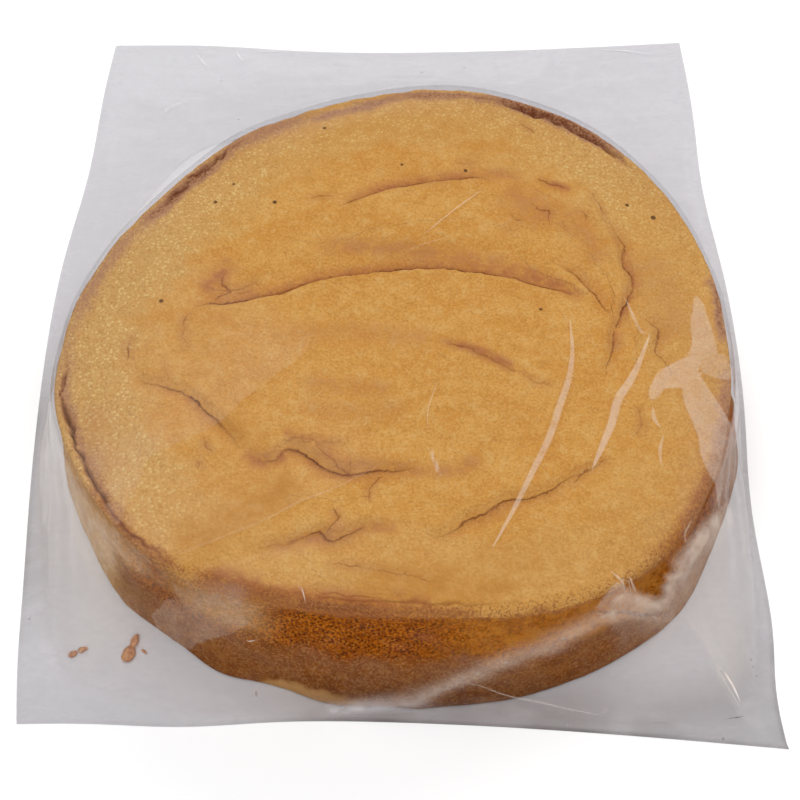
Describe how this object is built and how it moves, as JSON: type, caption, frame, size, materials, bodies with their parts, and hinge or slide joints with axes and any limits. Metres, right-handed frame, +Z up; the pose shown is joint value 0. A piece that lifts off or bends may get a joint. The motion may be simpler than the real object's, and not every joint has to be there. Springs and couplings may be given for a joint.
{
  "type": "sponge cake",
  "caption": "Round sponge cake with a folded golden top crust and browned sides, lying in a flat clear plastic bag.",
  "frame": {"origin": "on the resting surface, under the middle of the bag's outline", "axes": "+Z up; +Y along the bag's length, away from the viewer, towards the end with the wide empty skirt; +X to the viewer's right"},
  "size_m": [0.3021, 0.373, 0.0603],
  "materials": {
    "crust": "matt baked crust, golden on top and dark brown on the side",
    "film": "glossy clear film"
  },
  "bodies": {
    "root": {"sponge_cake": "crust", "clear_bag": "film"}
  },
  "joints": []
}
